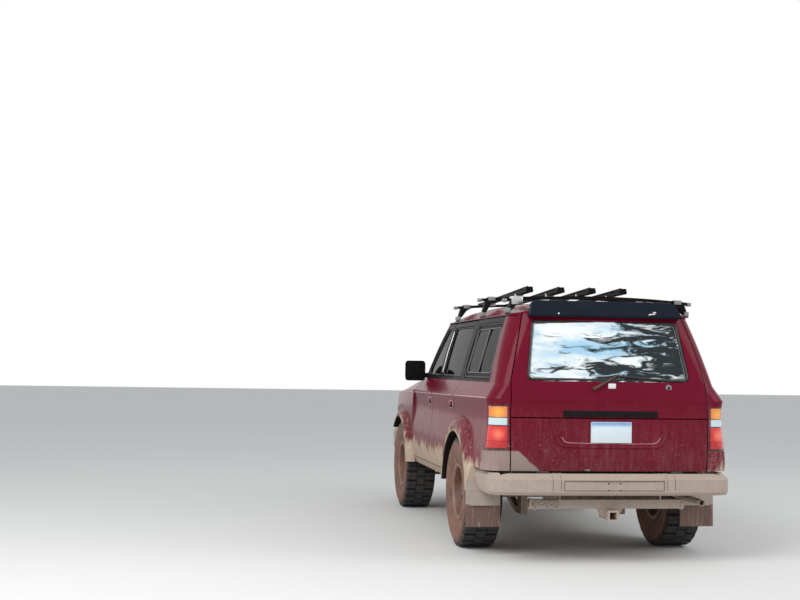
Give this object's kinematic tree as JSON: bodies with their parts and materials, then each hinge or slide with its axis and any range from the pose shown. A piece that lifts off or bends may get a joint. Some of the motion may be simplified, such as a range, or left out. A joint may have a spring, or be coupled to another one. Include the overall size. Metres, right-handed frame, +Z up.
{
  "type": "lifted off-road station wagon",
  "caption": "Lifted off-road wagon with opening side doors, hood, upper hatch and drop tailgate, steered front wheels on solid axles, ladder frame, tow hitch and roof rack",
  "frame": {"origin": "on the ground below the middle of the vehicle's length and width", "axes": "X to the vehicle's left, Y to the rear, Z up"},
  "size_m": [2.054, 4.82, 2.0475],
  "materials": {
    "body_paint": "glossy dark red paint",
    "black_trim": "satin black",
    "dusty_plastic": "dusty moulded plastic",
    "window_glass": "tinted glass",
    "lamp_red": "gloss lens",
    "lamp_clear": "gloss lens",
    "chassis_black": "dull black paint",
    "cast": "raw casting",
    "steel": "dull steel",
    "alloy": "satin cast alloy",
    "tyre": "tyre rubber",
    "rubber": "flap rubber",
    "seat_cloth": "woven cloth"
  },
  "bodies": {
    "body": {"body_glass": "window_glass", "body_side_left": "body_paint", "body_side_right": "body_paint", "body_tub": "body_paint", "chassis_frame": "chassis_black", "dashboard": "black_trim", "engine_bay": "body_paint", "engine_block": "cast", "exhaust": "steel", "fender_left": "body_paint", "fender_right": "body_paint", "firewall": "body_paint", "front_axle": "cast", "front_bumper": "dusty_plastic", "front_lamps": "lamp_clear", "front_panel": "body_paint", "fuel_tank": "chassis_black", "grille": "black_trim", "load_floor": "body_paint", "mud_flaps": "rubber", "prop_shafts": "steel", "rack_trays": "chassis_black", "rear_axle": "cast", "rear_bumper": "dusty_plastic", "receiver_tube": "steel", "roof_panel": "body_paint", "roof_rack": "chassis_black", "seats": "seat_cloth", "springs_dampers": "steel", "suspension_links": "chassis_black", "tail_lamps": "lamp_red", "tow_hitch": "steel"},
    "hood": {"hood": "body_paint"},
    "hatch": {"hatch": "body_paint", "hatch_glass": "window_glass", "spoiler": "black_trim"},
    "tailgate": {"tailgate": "body_paint"},
    "front_door_left": {"front_door_left": "body_paint", "front_door_glass_left": "window_glass", "mirror_left": "body_paint"},
    "front_door_right": {"front_door_right": "body_paint", "front_door_glass_right": "window_glass", "mirror_right": "body_paint"},
    "rear_door_left": {"rear_door_left": "body_paint", "rear_door_glass_left": "window_glass"},
    "rear_door_right": {"rear_door_right": "body_paint", "rear_door_glass_right": "window_glass"},
    "knuckle_left": {"knuckle_left": "cast"},
    "knuckle_right": {"knuckle_right": "cast"},
    "track_rod": {"track_rod": "steel"},
    "steering_wheel": {"steering_wheel": "black_trim"},
    "wheel_front_left": {"tyre_front_left": "tyre", "rim_front_left": "alloy"},
    "wheel_front_right": {"tyre_front_right": "tyre", "rim_front_right": "alloy"},
    "wheel_rear_left": {"tyre_rear_left": "tyre", "rim_rear_left": "alloy"},
    "wheel_rear_right": {"tyre_rear_right": "tyre", "rim_rear_right": "alloy"}
  },
  "joints": [
    {"name": "front_door_left_hinge", "type": "hinge", "parent": "body", "child": "front_door_left", "pos_m": [0.918, -0.975, 0.9], "axis": [0, 0, -1], "range_deg": [0, 65]},
    {"name": "front_door_right_hinge", "type": "hinge", "parent": "body", "child": "front_door_right", "pos_m": [-0.918, -0.975, 0.9], "axis": [0, 0, 1], "range_deg": [0, 65]},
    {"name": "rear_door_left_hinge", "type": "hinge", "parent": "body", "child": "rear_door_left", "pos_m": [0.918, 0.014, 0.9], "axis": [0, 0, -1], "range_deg": [0, 65]},
    {"name": "rear_door_right_hinge", "type": "hinge", "parent": "body", "child": "rear_door_right", "pos_m": [-0.918, 0.014, 0.9], "axis": [0, 0, 1], "range_deg": [0, 65]},
    {"name": "hood_hinge", "type": "hinge", "parent": "body", "child": "hood", "pos_m": [0, -1.024, 1.293], "axis": [-1, 0, 0], "range_deg": [0, 55]},
    {"name": "hatch_hinge", "type": "hinge", "parent": "body", "child": "hatch", "pos_m": [0, 2.074, 1.896], "axis": [1, 0, 0], "range_deg": [0, 85]},
    {"name": "tailgate_hinge", "type": "hinge", "parent": "body", "child": "tailgate", "pos_m": [0, 2.312, 0.664], "axis": [-1, 0, 0], "range_deg": [0, 90]},
    {"name": "steer_left", "type": "hinge", "parent": "body", "child": "knuckle_left", "pos_m": [0.7, -1.545, 0.425], "axis": [0, 0, 1], "range_deg": [-30, 30]},
    {"name": "steer_right", "type": "hinge", "parent": "body", "child": "knuckle_right", "pos_m": [-0.7, -1.545, 0.425], "axis": [0, 0, 1], "range_deg": [-30, 30]},
    {"name": "track_rod_pivot", "type": "hinge", "parent": "knuckle_left", "child": "track_rod", "pos_m": [0.7, -1.417, 0.34], "axis": [0, 0, 1], "range_deg": [-30, 30]},
    {"name": "steering_wheel_turn", "type": "hinge", "parent": "body", "child": "steering_wheel", "pos_m": [0.37, -0.42, 1.13], "axis": [0, 0.9063, 0.4226], "range_deg": [-480, 480]},
    {"name": "wheel_front_left_spin", "type": "hinge", "parent": "knuckle_left", "child": "wheel_front_left", "pos_m": [0.795, -1.545, 0.425], "axis": [1, 0, 0], "continuous": true},
    {"name": "wheel_front_right_spin", "type": "hinge", "parent": "knuckle_right", "child": "wheel_front_right", "pos_m": [-0.795, -1.545, 0.425], "axis": [1, 0, 0], "continuous": true},
    {"name": "wheel_rear_left_spin", "type": "hinge", "parent": "body", "child": "wheel_rear_left", "pos_m": [0.795, 1.305, 0.425], "axis": [1, 0, 0], "continuous": true},
    {"name": "wheel_rear_right_spin", "type": "hinge", "parent": "body", "child": "wheel_rear_right", "pos_m": [-0.795, 1.305, 0.425], "axis": [1, 0, 0], "continuous": true}
  ],
  "couplings": [
    {"joint": "steer_right", "follows": "steer_left", "ratio": 1},
    {"joint": "track_rod_pivot", "follows": "steer_left", "ratio": -1},
    {"joint": "steering_wheel_turn", "follows": "steer_left", "ratio": 16}
  ]
}
